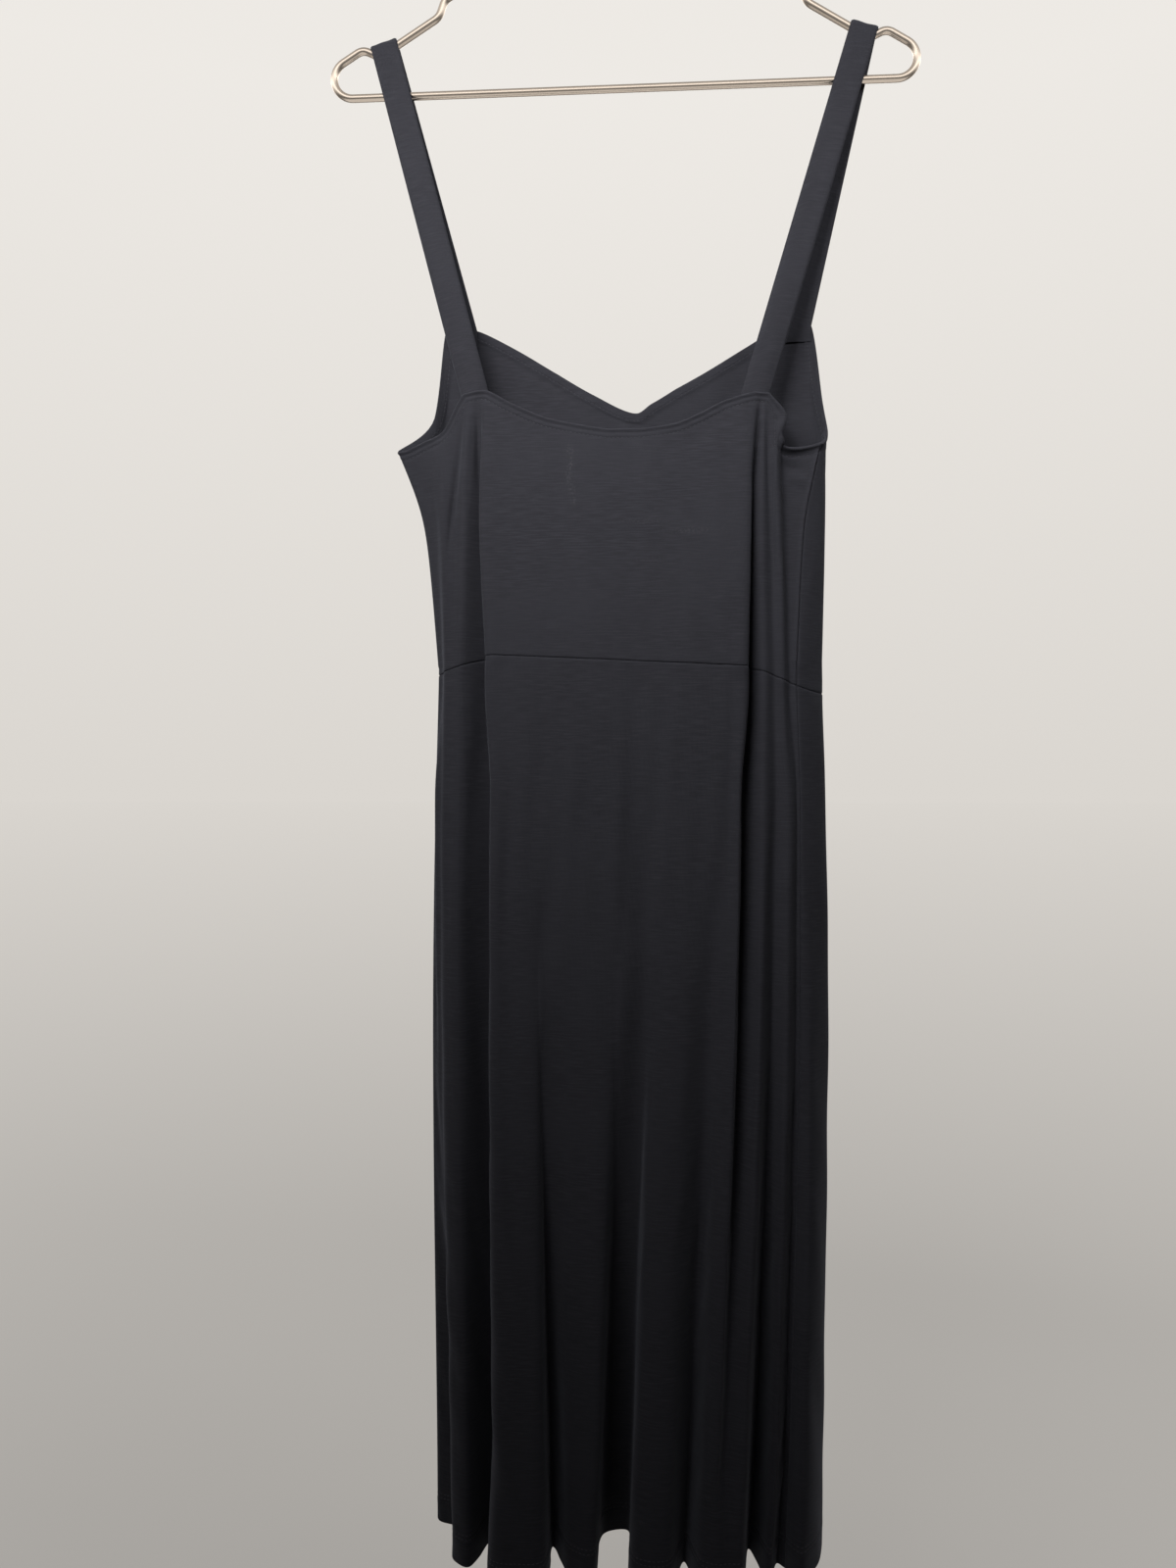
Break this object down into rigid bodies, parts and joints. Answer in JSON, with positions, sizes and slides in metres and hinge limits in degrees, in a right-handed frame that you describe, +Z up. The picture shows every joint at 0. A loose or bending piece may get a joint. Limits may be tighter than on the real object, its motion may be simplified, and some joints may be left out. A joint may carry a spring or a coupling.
{
  "type": "maxi dress on a wire hanger",
  "caption": "Sleeveless jersey maxi dress with wide straps, a V front, a scooped back and a waist seam over a softly folded skirt, hung by its straps on a bent wire hanger.",
  "frame": {"origin": "inside top of the hanger's hook, where a rail carries the hanger and the dress", "axes": "+X to the right in the picture, -Y towards the camera, which is the dress's back, +Y its front, +Z up"},
  "size_m": [0.42, 0.1231, 1.2562],
  "materials": {
    "jersey": "near-black viscose jersey knit, matt with a faint sheen",
    "wire": "polished pale champagne-gold plating on steel wire"
  },
  "bodies": {
    "root": {"bodice_back": "jersey", "bodice_front": "jersey", "skirt_back": "jersey", "skirt_front": "jersey", "strap_left": "jersey", "strap_right": "jersey", "hanger_bar": "wire", "hanger_end_left": "wire", "hanger_end_right": "wire", "hanger_notch_left": "wire", "hanger_notch_right": "wire", "hanger_arm_left": "wire", "hanger_arm_right": "wire", "hanger_crest": "wire", "hanger_hook": "wire"}
  },
  "joints": []
}
